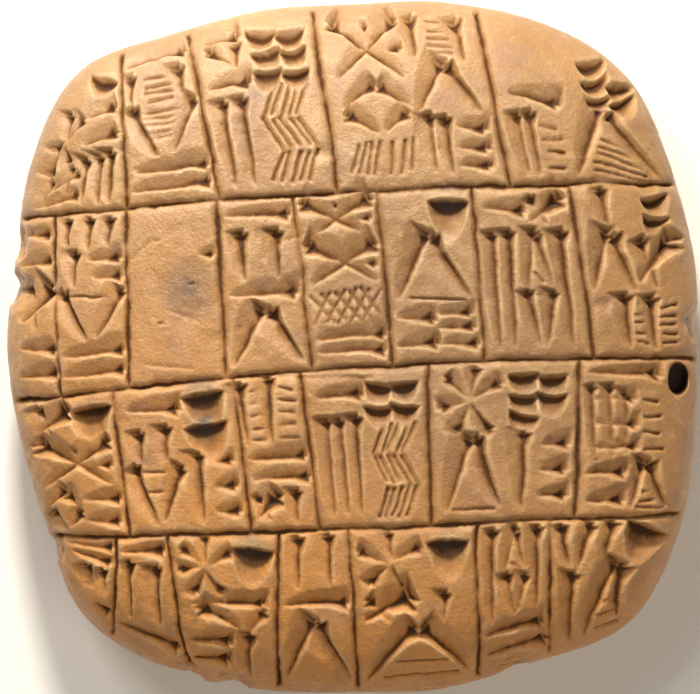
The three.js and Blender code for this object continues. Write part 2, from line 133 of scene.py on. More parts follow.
# Grey smudges on the face: x, y, radius and strength
SMUDGES = [
    (-19.7, 7.0, 4.2, 0.65),
    (-11.0, 32.0, 4.0, 0.35),
    (-18.3, -5.7, 2.7, 1.0),
    (-18.0, -9.5, 2.5, 1.0),
    (-32.0, -7.4, 2.4, 0.8),
    (-12.3, -24.8, 2.7, 1.0),
    (11.8, 17.6, 2.6, 0.8),
    (11.8, -24.0, 2.8, 0.9),
    (35.8, -23.0, 2.6, 0.5),
    (38.0, -10.5, 4.0, 0.45),
    (6.0, -4.6, 3.4, 0.35),
    (22.5, -5.5, 3.4, 0.35),
    (25.0, 32.0, 4.5, 0.3),
]
# Painted shade: the middle of the face is coloured darker: x, y and radius
SHADED_MIDDLE = (17, -2, 36)
# Where the face is polished to a sheen: x, y and radius
POLISHED = (-16, 28, 52)
# Middle of the round pit, half its width and height, and its depth
PIT = (39.65, -3.87, 1.25, 1.9, 2.9)

# Swells of the clay: height, size of each lump and seed
SWELLS = [(0.14, 9.0, 3), (0.06, 3.2, 4)]
# Crumbs: height where the clay is smooth, more of it where it is rough, size and seed
CRUMBS = [(0.02, 0.05, 1.1, 5), (0.02, 0.04, 0.5, 12)]
# Small pores: depth, how rare they are from 0 to 1, size and seed
PORES = [(1.6, 0.82, 0.8, 16), (1.2, 0.85, 1.7, 17)]
# How far edges of marks wander, over what length, and seed
WANDERS = [(0.25, 5.0, 6), (0.1, 1.5, 13), (0.05, 0.6, 18)]

# Dirt and painted shade: how they grow with each hollow and with depth, and how widely a hollow is measured
DIRT_AND_SHADE_BY_HOLLOW = 2.0
DIRT_AND_SHADE_BY_DEPTH = 0.2
DIRT_AND_SHADE_IN_PIT = 0.6
DIRT_AND_SHADE_PASSES = 24

# The back: heights of its three ruled lines and half their length as shares, and strokes in a row
BACK_LINES = [0.72, 0.5, 0.28]
BACK_SPAN = 0.56
BACK_STROKES = 7

# Lines between rows: heights at the left edge, the middle and the right edge, as shares
ROW_LINES = [
    (0.365, 0.44, 0.47),
    (-0.163, -0.06, -0.036),
    (-0.55, -0.518, -0.475),
]
# Lines between cases: x at the line above and at the line below, as shares
CASE_LINES = [
    [(-0.84, -0.96), (-0.666, -0.645), (-0.478, -0.377), (-0.12, -0.039), (0.356, 0.446), (0.84, 0.95)],
    [
        (-0.95, -0.97), (-0.864, -0.841), (-0.648, -0.639), (-0.385, -0.359), (-0.172, -0.11),
        (0.069, 0.114), (0.342, 0.371), (0.619, 0.691), (0.96, 0.97),
    ],
    [
        (-0.96, -0.88), (-0.691, -0.642), (-0.339, -0.289), (-0.146, -0.091), (0.215, 0.221),
        (0.651, 0.639), (0.89, 0.93),
    ],
    [
        (-0.85, -0.73), (-0.684, -0.697), (-0.527, -0.483), (-0.214, -0.214), (-0.013, 0.013),
        (0.356, 0.362), (0.567, 0.561), (0.92, 0.77),
    ],
]

# What fills each case: a list is a stack from the top down, a list in it runs left to right, and
# so on inward. A number gives the share of what follows it. A word names a mark and how many.
CASES = [
    [
        [["blank", "dents1"], 1.6, ["fan5", "bars2"], 1.5, ["grid2", "posts3"]],
        [0.8, "bars1", 1.2, "ladder4", 1.9, "funnel5", 1.3, "bars2"],
        [[[1.1, "hook", 0.7, "bars1", 2.2, "posts2"], 1.5, ["dents6", 1.6, "slats5"]]],
        [[1.1, [1.7, "cross", 1.3, "kite", ["hatch4", "hatch3"]],
          [1.3, "ladder5", 1.6, "tent0", 1.7, ["posts2", "bars3"]]]],
        [[1.2, "blank", "dents5"], 1.7, [["bars1", 2.2, ["posts2", "rungs4"]], 1.7, "tent5"]],
    ],
    [
        ["bars2", "wedge", "bars2"],
        [0.9, "posts3", ["posts1", "bars2"], 1.4, "funnel1", 1.1, "bars2"],
        ["blank"],
        [0.8, "bars1", 1.5, "posts2", 0.8, "bars1", 1.7, "tent0"],
        [1.4, "cross", 1.4, "cross", 1.3, "weave5", "bars2"],
        [["blank", "scoops1"], 1.9, "tent1", 1.4, ["bars2", "bars3"]],
        [[["bars1"], "wedge"], 3.2, [1.6, "posts2", 1.6, "leaf4", "posts1"]],
        [["posts1", "dents2"], 1.6, ["tent0", "wedge"], 1.4, ["blank", 2, "rail5"]],
    ],
    [
        [1.3, [1.2, "wedge", "scoops1"], 1.5, "cross", 1.3, ["kite", "bars2"]],
        [[1.2, ["bars1", "posts2", 1.6, "funnel2"], [1.5, "scoops2", 1.8, ["posts1", "bars3"]]]],
        [1.9, "rail5", 1.1, "bars2", ["wedge", "posts1"]],
        [[["bars1", 2.6, "posts3"], 1.2, ["dents4", 2.2, "slats5"]]],
        [[[1.2, "fan6", 1.5, "tent1"], ["dents5", 1.4, ["posts1", "bars3"]]]],
        [0.6, "bars1", 2, [1.4, "grid3", 0.7, "rungs4"], 1.3, ["bars2", "tent4"]],
    ],
    [
        ["bars2", "posts2", "bars1"],
        ["bars1", 2.4, "posts2", "bars1"],
        [1.6, [1.4, "fan6", "scoops1"], "hook", 1.2, ["bars2", "posts1"]],
        [1.6, "posts2", 0.8, "bars1", 1.8, "tent0"],
        [1.6, [1.4, "fan5", "scoops1"], 0.9, ["wedge", "posts1"], 1.5, "tent2"],
        [2.4, ["posts1", 1.4, "leaf4", "posts1"], "bars2"],
        [[1.2, "funnel0", "posts1", "scoops1"], 1.4, ["posts1", 1.4, "tent3"]],
    ],
]


def mix(a, b, t):
    return a + (b - a) * t


def soft_max(a, b, blend):
    h = np.clip(0.5 + 0.5 * (a - b) / blend, 0, 1)
    return mix(b, a, h) + blend * h * (1 - h)


def soft_min(a, b, blend):
    return -soft_max(-a, -b, blend)


# The outline and the bare pillow

def reach_at(heading):
    """How far the outline reaches at a heading: a smooth closed curve through the reaches."""
    place = np.mod(np.asarray(heading) / (2 * math.pi), 1.0) * len(REACH)
    k = np.floor(place).astype(int)
    t = place - k
    table = np.array(REACH)
    a, b, c, d = (table[(k + step) % len(REACH)] for step in (-1, 0, 1, 2))
    return 0.5 * (
        2 * b + (c - a) * t + (2 * a - 5 * b + 4 * c - d) * t ** 2 + (3 * b - a - 3 * c + d) * t ** 3
    )


def outline_fit():
    """The middle of the unit outline, and millimetres to its unit, across and up."""
    steps = 720
    headings = np.arange(steps) / steps * 2 * math.pi
    across = reach_at(headings) * np.cos(headings)
    up = reach_at(headings) * np.sin(headings)
    middle = np.array([across.min() + across.max(), up.min() + up.max()]) / 2
    return middle, np.array([WIDTH / np.ptp(across), LENGTH / np.ptp(up)])


MIDDLE, SCALE = outline_fit()


def share_out(x, y):
    """Share of the way from the middle to the outline."""
    across = np.asarray(x) / SCALE[0] + MIDDLE[0]
    up = np.asarray(y) / SCALE[1] + MIDDLE[1]
    return np.hypot(across, up) / reach_at(np.arctan2(up, across))


def face_height(share):
    level = np.maximum(1 - share ** FACE_SHOULDER, 0)
    return WAIST_HEIGHT + (THICKNESS - WAIST_HEIGHT) * level ** (1 / ROLL)


def back_height(share):
    out = np.maximum(share - REST_SHARE, 0) / (1 - REST_SHARE)
    return WAIST_HEIGHT * (1 - np.maximum(1 - out ** BACK_SHOULDER, 0) ** (1 / ROLL))


# The layout of the marks

def edge_height(across, sign):
    """Where the written part of the face ends above or below a place, as a share."""
    low, high = 0.0, 1.1
    halvings = 20
    for _ in range(halvings):
        middle = (low + high) / 2
        if share_out(across * WIDTH / 2, sign * middle * LENGTH / 2) < WRITTEN_REACH:
            low = middle
        else:
            high = middle
    return sign * low


def line_height(line, across):
    """Height of a row's upper line; line 0 is the top edge and the last one the bottom edge."""
    if line == 0:
        return edge_height(across, 1)
    if line > len(ROW_LINES):
        return edge_height(across, -1)
    left, middle, right = ROW_LINES[line - 1]
    return middle + (right - left) / 2 * across + ((right + left) / 2 - middle) * across ** 2


def in_case(row, column, u, v):
    """A place in a case, from 0 to 1 across and up, in millimetres."""
    left, right = CASE_LINES[row][column], CASE_LINES[row][column + 1]
    across = mix(mix(left[1], left[0], v), mix(right[1], right[0], v), u)
    up = mix(line_height(row + 1, across), line_height(row, across), v)
    return across * WIDTH / 2, up * LENGTH / 2


def spread(count, margin=0.0):
    return [mix(margin, 1 - margin, (k + 0.5) / count) for k in range(count)]


# Each mark is a list of strokes in a cell that runs from 0 to 1 across and up: from, to, size.

def blank(count):
    return []


def posts(count):
    return [((u, 0.98), (u, 0.0), 1) for u in spread(count)]


def bars(count):
    return [((0.97, v), (0.0, v), 1) for v in reversed(spread(count))]


def rungs(count, low=0.1, high=0.9):
    return [((high, v), (low, v), LIGHT) for v in spread(count, 0.06)]


def ladder(count):
    return [((u, 0.98), (u, 0.0), 1) for u in (0.1, 0.84)] + rungs(count, 0.3, 0.72)


def rail(count):
    sides = [((u, 0.98), (u, 0.0), 1) for u in (0.05, 0.5)]
    return sides + rungs(count, 0.16, 0.4) + rungs(count, 0.62, 0.92)


def tent(count):
    rows = [0.06 + 0.58 * k / max(count, 2) for k in range(count)]
    sides = [((0.48, 0.98), (0.02, 0.02), 1.15), ((0.56, 0.95), (0.99, 0.04), 1.15)]
    return sides + [((0.52 + 0.4 * (1 - v), v), (0.52 - 0.36 * (1 - v), v), LIGHT) for v in rows]


def funnel(count):
    rows = [0.9 - 0.62 * k / max(count, 2) for k in range(count)]
    sides = [((0.04, 0.98), (0.42, 0.02), 1), ((0.96, 0.98), (0.56, 0.02), 1)]
    return sides + [((0.6 + 0.26 * v, v), (0.42 - 0.28 * v, v), LIGHT) for v in rows]


def fan(count):
    marks = []
    for k in range(count):
        heading = 0.5 + 5.7 * k / count
        c, s = math.cos(heading), math.sin(heading)
        marks.append(((0.5 + 0.54 * c, 0.5 + 0.54 * s), (0.5 + 0.05 * c, 0.5 + 0.05 * s), 0.9))
    return marks


def slats(count):
    marks = []
    tiers = 3
    for tier in range(tiers):
        low, high = 1 - (tier + 1) / tiers, 1 - tier / tiers
        half_lean = -0.13 if tier % 2 else 0.13
        marks += [((u + half_lean, high), (u - half_lean, low), 0.62) for u in spread(count, 0.14)]
    return marks


def cross(count):
    return [
        ((0.06, 0.96), (0.95, 0.08), 1.15), ((0.95, 0.96), (0.04, 0.06), 1.15),
        ((0.5, 0.92), (0.5, 0.66), 0.8), ((0.94, 0.5), (0.72, 0.5), 0.8),
    ]


def kite(count):
    return [
        ((0.5, 0.98), (0.05, 0.55), 1), ((0.58, 0.92), (0.96, 0.5), 1),
        ((0.08, 0.45), (0.5, 0.02), 1), ((0.94, 0.42), (0.55, 0.04), 1),
    ]


def grid(count):
    marks = []
    for place in spread(count):
        marks += [((place, 0.98), (place, 0.02), 0.8), ((0.98, place), (0.02, place), 0.8)]
    return marks


def weave(count):
    marks = []
    for u in spread(count, 0.06):
        marks += [((u + 0.16, 0.95), (u - 0.16, 0.1), LIGHT), ((u - 0.16, 0.95), (u + 0.16, 0.1), LIGHT)]
    return marks


def hatch(count):
    return [((u + 0.12, 0.95), (u - 0.12, 0.1), LIGHT) for u in spread(count, 0.08)]


def leaf(count):
    sides = [
        ((0.5, 0.98), (0.1, 0.5), 0.9), ((0.56, 0.94), (0.92, 0.5), 0.9),
        ((0.1, 0.5), (0.46, 0.02), 0.9), ((0.92, 0.48), (0.54, 0.02), 0.9),
    ]
    return sides + [((0.66, v), (0.36, v + 0.06), LIGHT) for v in spread(count, 0.2)]


def hook(count):
    return [((0.92, 0.88), (0.08, 0.74), 1), ((0.2, 0.62), (0.66, 0.08), 1), ((0.9, 0.66), (0.74, 0.02), 1)]


def wedge(count):
    return [((0.92, 0.82), (0.06, 0.2), 1.5), ((0.14, 0.86), (0.5, 0.1), 1)]


def dents(count):
    columns = 2 if count > 2 else 1
    rows = math.ceil(count / columns)
    marks = []
    for k in range(count):
        u = mix(0.5, (k // rows + 0.5) / columns, 0.9)
        marks.append(((u, 1 - (k % rows + 0.3) / rows), (u, 1 - (k % rows + 0.9) / rows), DENT))
    return marks


def scoops(count):
    rows = [(k + 0.1) / count for k in range(count)]
    return [((0.5, 1 - row), (0.5, 1 - row - 0.8 / count), SCOOP) for row in rows]


MARKS = {
    mark.__name__: mark
    for mark in (blank, posts, bars, rungs, ladder, rail, tent, funnel, fan, slats, cross, kite, grid,
                 weave, hatch, leaf, hook, wedge, dents, scoops)
}


class Hand:
    """A steady stream of small numbers from -1 to 1, so that the hand's unevenness repeats."""

    def __init__(self):
        self.drawn = 0

    def stray(self):
        self.drawn += 1
        wave = math.sin(self.drawn * 12.9898) * 43758.5453
        return 2 * (wave - math.floor(wave)) - 1


def trimmed(start, end):
    """The end, moved toward the start until it lies on the written part of the face."""
    for t in np.arange(1, 0, -0.05):
        point = (mix(start[0], end[0], t), mix(start[1], end[1], t))
        if share_out(*point) < WRITTEN_REACH:
            return point
    return start


def fill(content, stacked, place, hand, marks):
    """Adds what fills a cell to marks, each pressed from one place to another at a size."""
    if isinstance(content, str):
        word, count = re.match(r"([a-z]+)(\d*)", content).groups()
        for start, end, size in MARKS[word](int(count or 1)):
            first = [value + hand.stray() * UNEVEN for value in place(*start)]
            last = [value + hand.stray() * UNEVEN for value in place(*end)]
            first = trimmed(last, first)
            last = trimmed(first, last)
            if math.dist(first, last) > (SHORTEST if size > 0 else SHORTEST_DENT):
                marks.append((first, last, size))
        return
    parts = []
    share = 1
    for entry in content:
        if isinstance(entry, (int, float)):
            share = entry
        else:
            parts.append((entry, share))
            share = 1
    whole = sum(share for _, share in parts)
    gap = CELL_GAP / len(parts)
    done = 0
    for entry, share in parts:
        low, high = done / whole + gap, (done + share) / whole - gap
        if stacked:
            def inner(u, v, low=low, high=high):
                return place(mix(CELL_GAP, 1 - CELL_GAP, u), mix(1 - high, 1 - low, v))
        else:
            def inner(u, v, low=low, high=high):
                return place(mix(low, high, u), v)
        fill(entry, not stacked, inner, hand, marks)
        done += share


def face_marks(hand):
    marks = []
    for row, cases in enumerate(CASES):
        for column, content in enumerate(cases):
            def place(u, v, row=row, column=column):
                inner_u = mix(CASE_MARGINS["left"], CASE_MARGINS["right"], u)
                inner_v = mix(CASE_MARGINS["bottom"], CASE_MARGINS["top"], v)
                return in_case(row, column, inner_u, inner_v)
            fill(content, True, place, hand, marks)
    return marks


def face_rules():
    """The ruled lines of the face, as lists of points."""
    row_end, row_points, case_points = 0.99, 25, 5
    paths = []
    for line in range(1, len(ROW_LINES) + 1):
        across = np.linspace(-row_end, row_end, row_points)
        paths.append([(a * WIDTH / 2, line_height(line, a) * LENGTH / 2) for a in across])
    for row, lines in enumerate(CASE_LINES):
        for column in range(1, len(lines) - 1):
            paths.append([in_case(row, column, 0, v) for v in np.linspace(0, 1, case_points)])
    return paths


def back_marks(hand):
    """Two short rows of plain strokes between three lines."""
    start, end = 0.2, 0.85
    span = BACK_SPAN * WIDTH / 2
    marks = []
    for row in range(1, len(BACK_LINES)):
        top, bottom = (BACK_LINES[k] * LENGTH / 2 for k in (row - 1, row))
        for k in range(BACK_STROKES - row):
            x = mix(-span, span, (k + 0.5) / BACK_STROKES) + hand.stray() * UNEVEN
            marks.append(((x, mix(top, bottom, start)), (x, mix(top, bottom, end)), 1))
    return marks


def back_rules():
    span = BACK_SPAN * WIDTH / 2
    return [[(-span, line * LENGTH / 2), (span, line * LENGTH / 2)] for line in BACK_LINES]


# Relief: how deep each place is pressed, in millimetres

def scoop_depth(along, across):
    """The butt pressed in low and deep, its sides worn soft."""
    deep, slant = SCOOP_SIZE[0], math.radians(SCOOP_SIZE[1])
    breadth, wall_share, softness = 3.4, 0.3, 0.25
    beyond = along - deep * math.tan(slant)
    bowl = across ** 2 / breadth
    ramp = deep - beyond * math.tan(slant) - bowl
    wall = deep + beyond / math.tan(slant) - wall_share * bowl
    return soft_min(ramp, wall, softness)


def dent_depth(along, across):
    """A round stylus butt pressed in at a slant: its flat end leaves a wall, its side a ramp."""
    deep, slant = DENT_SIZE[0], math.radians(DENT_SIZE[1])
    softness, step_beside = 0.1, 0.4
    beyond = along - deep * math.tan(slant)
    bowl = (DENT_RADIUS - np.sqrt(np.maximum(DENT_RADIUS ** 2 - across ** 2, 0))) / math.cos(slant)
    ramp = deep - beyond * math.tan(slant) - bowl
    wall = deep + beyond / math.tan(slant)
    outside = np.abs(across) - DENT_RADIUS
    return np.where(outside < 0, soft_min(ramp, wall, softness), -step_beside - outside)


def line_depth(along, across, length, size):
    """A light line: a narrow groove with one steep side, a little deeper at its head."""
    deep, shallower_end = 0.42 * size / LIGHT, 0.1
    gentle, steep = 0.8, 2.0
    head_slope, end_slope = 1.6, 1.2
    keel = deep - shallower_end * np.clip(along / length, 0, 1)
    groove = np.minimum(keel - gentle * across, keel + steep * across)
    ends = np.minimum(head_slope * along, end_slope * (length - along))
    return np.minimum(groove, ends + shallower_end)


def wedge_depth(along, across, length, size):
    """A full stroke: a deep head, then a crease with one gentle and one steep side."""
    setback, full_length = 0.5, 16
    crease = 0.95 * size * min(1.0, 0.6 + length / full_length)
    pit = 1.4 * size * min(1.0, 0.65 + length / full_length)

    gentle, steep, start_slope, taper = 0.38, 2.2, 1.2, 0.42
    left = np.clip(1 - along / length, -1, 1)
    keel = crease * np.sign(left) * np.abs(left) ** taper
    tail = np.minimum(keel - gentle * across, keel + steep * across)
    tail = np.minimum(tail, crease + start_slope * along)

    wall_slope, floor_slope, one_side, other_side = 2.2, 0.55, 1.0, 1.5
    past = along - setback * size
    side = np.where(across > 0, one_side * across, -other_side * across)
    head = np.minimum(pit + wall_slope * past, pit - floor_slope * past - side)
    softness = 0.05
    return soft_max(tail, head, softness)


def pressed_depth(x, y, marks):
    """The deepest press at each place; below nothing where the clay is untouched."""
    depth = np.full_like(x, NO_MARK)
    margin, softness = 5.0, 0.04
    for (x0, y0), (x1, y1), size in marks:
        near = np.nonzero(
            (x > min(x0, x1) - margin) & (x < max(x0, x1) + margin)
            & (y > min(y0, y1) - margin) & (y < max(y0, y1) + margin)
        )[0]
        length = math.dist((x0, y0), (x1, y1))
        ax, ay = (x1 - x0) / length, (y1 - y0) / length
        dx, dy = x[near] - x0, y[near] - y0
        along, across = dx * ax + dy * ay, dy * ax - dx * ay
        if size == DENT:
            here = dent_depth(along, across)
        elif size == SCOOP:
            here = scoop_depth(along, across)
        elif size < LIGHTEST_WEDGE:
            here = line_depth(along, across, length, size)
        else:
            gentle_side = math.copysign(1, ax if abs(ax) > abs(ay) else ay)
            here = wedge_depth(along, gentle_side * across, length, size)
        depth[near] = soft_max(depth[near], here, softness)
    return depth


def distance_to(x, y, path):
    nearest = np.full_like(x, FAR_AWAY)
    for (x0, y0), (x1, y1) in zip(path, path[1:]):
        dx, dy = x1 - x0, y1 - y0
        t = np.clip(((x - x0) * dx + (y - y0) * dy) / (dx * dx + dy * dy), 0, 1)
        nearest = np.minimum(nearest, np.hypot(x - x0 - t * dx, y - y0 - t * dy))
    return nearest


def ruled_depth(points, paths):
    """Drawn lines: a narrow furrow in a wide shallow one, deeper in some places than in others."""
    nearest = np.full(len(points), FAR_AWAY)
    for path in paths:
        nearest = np.minimum(nearest, distance_to(points[:, 0], points[:, 1], path))
    press = 1 + sum(much * value_noise(points, cell, seed) for much, cell, seed in PRESSES)
    furrow = FURROW[0] * np.exp(-(nearest / FURROW[1]) ** FURROW[2])
    shallow = SHALLOW[0] * np.exp(-(nearest / SHALLOW[1]) ** SHALLOW[2])
    return press * (furrow + shallow)


def chip_depth(points, chip, squash):
    """A ragged bite; the squash is how much shorter it is across than up and down."""
    x, y, z, radius, deep = chip
    ragged, lumpy, steepness = 0.35, 0.25, 1.6
    reach = np.linalg.norm((points - [x, y, z]) * [1, 1, squash], axis=1) / radius
    inside = np.clip(1.15 - reach + ragged * value_noise(points, 1.6, 9), 0, 1)
    bottom = 1 - lumpy + lumpy * value_noise(points, 0.9, 10)
    return deep * np.minimum(steepness * inside, 1) * bottom


def outline_point(heading):
    """The place on the outline at a heading in degrees, in millimetres."""
    angle = math.radians(heading)
    return (reach_at(angle) * np.array([math.cos(angle), math.sin(angle)]) - MIDDLE) * SCALE


def worn_depth(points):
    """Chips and flakes, the same on both sheets where they meet."""
    depth = np.zeros(len(points))
    for heading, *chip in EDGE_CHIPS:
        depth = np.maximum(depth, chip_depth(points, (*outline_point(heading), *chip), EDGE_SQUASH))
    for chip in FACE_CHIPS:
        depth = np.maximum(depth, chip_depth(points, chip, FACE_SQUASH))
    return depth


def scratch_depth(points):
    squareness = 1.5
    depth = np.zeros(len(points))
    for start, end, deep, width in SCRATCHES:
        nearest = distance_to(points[:, 0], points[:, 1], [start, end])
        depth = np.maximum(depth, deep * np.exp(-(nearest / width) ** squareness))
    return depth


def pit_depth(points):
    """A round hole, straight down into the face."""
    x, y, half_width, half_height, deep = PIT
    rim, wall_width = 1.1, 0.25
    reach = np.hypot((points[:, 0] - x) / half_width, (points[:, 1] - y) / half_height)
    return deep * np.clip((rim - reach) / wall_width, 0, 1)


def value_noise(points, cell, seed):
    """Smooth noise from -1 to 1 at points, with lumps of about cell millimetres."""
    side = 32
    table = np.random.default_rng(seed).uniform(-1, 1, (side, side, side))
    place = points / cell + 1000.0
    k = np.floor(place).astype(int)
    t = place - k
    t = t * t * (3 - 2 * t)
    total = np.zeros(len(points))
    for corner in range(8):
        step = np.array([corner & 1, (corner >> 1) & 1, corner >> 2])
        weight = np.prod(np.where(step, t, 1 - t), axis=1)
        total += weight * table[tuple(((k + step) % side).T)]
    return total


# The mesh

def net_directions(steps):
    """Ring and heading of each knot of a square net pulled out into a disc."""
    a, b = np.meshgrid(np.linspace(-1, 1, steps + 1), np.linspace(-1, 1, steps + 1))
    ring = np.maximum(np.abs(a), np.abs(b))
    wide = np.abs(a) >= np.abs(b)
    safe_a = np.where(a == 0, 1, a)
    safe_b = np.where(b == 0, 1, b)
    heading = np.where(wide, b / safe_a, 2 - a / safe_b) * math.pi / 4
    heading += np.where(np.where(wide, a < 0, b < 0), math.pi, 0)
    return ring.ravel(), heading.ravel()


def even_share(ring, height):
    """Shares that space the rings evenly over the bent surface, not over its plan."""
    fine_steps = 4000
    share = 1 - np.linspace(1, 0, fine_steps) ** 2
    run = np.concatenate([[0], np.cumsum(np.hypot(np.diff(share) * WIDTH / 2, np.diff(height(share))))])
    return np.interp(ring, run / run[-1], share)


def bare_sheet(height, sign):
    """Points and outward normals of the bare face (sign 1) or back (sign -1)."""
    ring, heading = net_directions(NET_STEPS)
    share = even_share(ring, height)
    reach = share * reach_at(heading)
    x = (reach * np.cos(heading) - MIDDLE[0]) * SCALE[0]
    y = (reach * np.sin(heading) - MIDDLE[1]) * SCALE[1]
    step, nudge, upright = 0.02, 1e-5, 1e6
    slope_x = (share_out(x + step, y) - share_out(x - step, y)) / (2 * step)
    slope_y = (share_out(x, y + step) - share_out(x, y - step)) / (2 * step)
    near = np.clip(share, 10 * nudge, 1 - 10 * nudge)
    fall = (height(near + nudge) - height(near - nudge)) / (2 * nudge)
    fall = np.where(share > 1 - 5 * nudge, -sign * upright, fall)
    normal = np.stack([-sign * fall * slope_x, -sign * fall * slope_y, np.full_like(x, sign)], axis=1)
    normal /= np.linalg.norm(normal, axis=1, keepdims=True)
    return np.stack([x, y, height(share)], axis=1), normal, share


def net_faces(steps, offset, flip):
    knots = np.arange((steps + 1) ** 2).reshape(steps + 1, steps + 1) + offset
    a, b, c, d = knots[:-1, :-1], knots[:-1, 1:], knots[1:, 1:], knots[1:, :-1]
    quads = np.stack([a, b, c, d], axis=-1).reshape(-1, 4)
    return quads[:, ::-1] if flip else quads


def uneven_height(points, share, wear):
    """Swells, crumbs and pores: how much the bare clay rises above its even form."""
    rough_share, rough_cell, rough_seed = 0.3, 7.0, 11
    rim_share, pores_where_smooth = 0.1, 0.4
    height = sum(tall * value_noise(points, cell, seed) for tall, cell, seed in SWELLS)
    rough = np.clip(rough_share + value_noise(points, rough_cell, rough_seed), 0, 1)
    near_rim = np.clip((share - (1 - rim_share)) / rim_share, 0, 1)
    crumbs = sum(
        (smooth + more * rough) * value_noise(points, cell, seed) for smooth, more, cell, seed in CRUMBS
    )
    pores = sum(
        deep * np.clip(value_noise(points, cell, seed) - rare, 0, 1) for deep, rare, cell, seed in PORES
    )
    return height + (crumbs - pores * mix(pores_where_smooth, 1, rough)) * mix(wear, 1, near_rim)


def wandered(points):
    """The points moved a little, so that what is pressed there has uneven edges."""
    moved = points.copy()
    for reach, cell, seed in WANDERS:
        moved[:, 0] += reach * value_noise(points, cell, seed)
        moved[:, 1] += reach * value_noise(points, cell, seed + 1)
    return moved


def smoothed(values, passes):
    """Evens a net's values with their neighbours, away from the net's border."""
    field = values.reshape(NET_STEPS + 1, NET_STEPS + 1).copy()
    for _ in range(passes):
        field[1:-1, 1:-1] = 0.5 * field[1:-1, 1:-1] + 0.125 * (
            field[:-2, 1:-1] + field[2:, 1:-1] + field[1:-1, :-2] + field[1:-1, 2:]
        )
    return field.ravel()


def clay_relief(points, share, marks, rules, wear):
    """Depth, and dirt with painted shade, at each point of a sheet; the wear says how crumbly it is."""
    lumps = uneven_height(points, share, wear)
    moved = wandered(points)
    by_hand = pressed_depth(moved[:, 0], moved[:, 1], marks)
    lip_outside, lip_inside = 1.3, 6
    lip = LIP * np.exp(np.where(by_hand < 0, lip_outside * by_hand, -lip_inside * by_hand))
    edge_softness, rule_softness = 0.2, 0.1
    pressed = soft_max(soft_max(by_hand, 0, edge_softness), ruled_depth(moved, rules), rule_softness)
    fade_width = 0.015
    fade = np.clip((1 - share) / fade_width, 0, 1)
    depth = SINK - lumps + worn_depth(points) + (pressed - lip + wear * scratch_depth(moved)) * fade
    depth = smoothed(depth, 1)
    hollow = depth - smoothed(depth, DIRT_AND_SHADE_PASSES)
    # Dirt and painted shade: more in hollows and with depth, below nothing on ridges
    return depth, DIRT_AND_SHADE_BY_HOLLOW * hollow + DIRT_AND_SHADE_BY_DEPTH * pressed * fade


def make_tablet():
    hand = Hand()
    sheets = []
    face = (face_height, 1, face_marks(hand) + NICKS, face_rules(), 1.0)
    back = (back_height, -1, back_marks(hand), back_rules(), 0.0)
    for height, sign, marks, rules, wear in (face, back):
        points, normal, share = bare_sheet(height, sign)
        depth, dirt_and_shade = clay_relief(points, share, marks, rules, wear)
        sunk = points - normal * depth[:, None]
        if sign > 0:
            hole = pit_depth(points)
            sunk[:, 2] -= hole
            # Dirt and painted shade in the pit, growing with its depth
            dirt_and_shade += DIRT_AND_SHADE_IN_PIT * hole
        sheets.append((sunk, dirt_and_shade))
    points = np.concatenate([sheet[0] for sheet in sheets])
    dirt_and_shade = np.concatenate([sheet[1] for sheet in sheets])
    points = np.clip(points, [-WIDTH / 2, -LENGTH / 2, 0], [WIDTH / 2, LENGTH / 2, THICKNESS])
    points[:, :2] += (LOW[:2] + HIGH[:2]) / 2
    faces = np.concatenate([
        net_faces(NET_STEPS, 0, False), net_faces(NET_STEPS, (NET_STEPS + 1) ** 2, True)
    ])
    tablet = bpy.data.objects.new("clay_tablet", net_mesh(points * MM, faces, dirt_and_shade))
    bpy.context.scene.collection.objects.link(tablet)
    weld(tablet)
    return tablet


def net_mesh(points, faces, dirt_and_shade):
    """A smooth mesh of four-sided faces that carries the dirt and painted shade at each of its points."""
    mesh = bpy.data.meshes.new("clay_tablet")
    mesh.vertices.add(len(points))
    mesh.vertices.foreach_set("co", points.ravel())
    mesh.loops.add(faces.size)
    mesh.loops.foreach_set("vertex_index", faces.ravel())
    mesh.polygons.add(len(faces))
    mesh.polygons.foreach_set("loop_start", np.arange(0, faces.size, 4))
    mesh.polygons.foreach_set("use_smooth", np.ones(len(faces), bool))
    mesh.update(calc_edges=True)
    mesh.attributes.new("pressed", "FLOAT", "POINT").data.foreach_set("value", dirt_and_shade)
    return mesh


def apply_modifier(obj, modifier):
    with bpy.context.temp_override(object=obj, active_object=obj, selected_objects=[obj]):
        bpy.ops.object.modifier_apply(modifier=modifier.name)


def weld(tablet):
    """Joins the two sheets along the outline, then thins the mesh where it is flat."""
    seam = tablet.modifiers.new("seam", "WELD")
    seam.merge_threshold = 0.004 * MM
    apply_modifier(tablet, seam)
    triangles = 2 * len(tablet.data.polygons)
    if triangles > MOST_TRIANGLES:
        thin = tablet.modifiers.new("thin", "DECIMATE")
        thin.ratio = MOST_TRIANGLES / triangles
        apply_modifier(tablet, thin)


# Materials

# Colours of the clay, as linear red, green and blue
CLAY = [(0.3, (0.36, 0.183, 0.063)), (0.5, (0.45, 0.238, 0.087)), (0.7, (0.54, 0.31, 0.128))]
# Painted warm light: the lower face is coloured brighter and more orange
LOWER_WARM_LIT_CLAY = (0.70, 0.29, 0.068)
# Painted shade for the darker middle of the face
SHADED_MIDDLE_CLAY = (0.28, 0.18, 0.10)
MAUVE_PATCH = (0.34, 0.185, 0.128)
PALE_PATCH = (0.68, 0.42, 0.225)
SPECK = (0.38, 0.19, 0.075)
GRAIN = (0.40, 0.21, 0.085)
# Dirt and painted shade in creases and deep hollows
BROWN_DIRT_AND_SHADE = (0.11, 0.045, 0.017)
DEEP_DIRT_AND_SHADE = (0.05, 0.044, 0.042)
SMUDGE = (0.085, 0.072, 0.064)
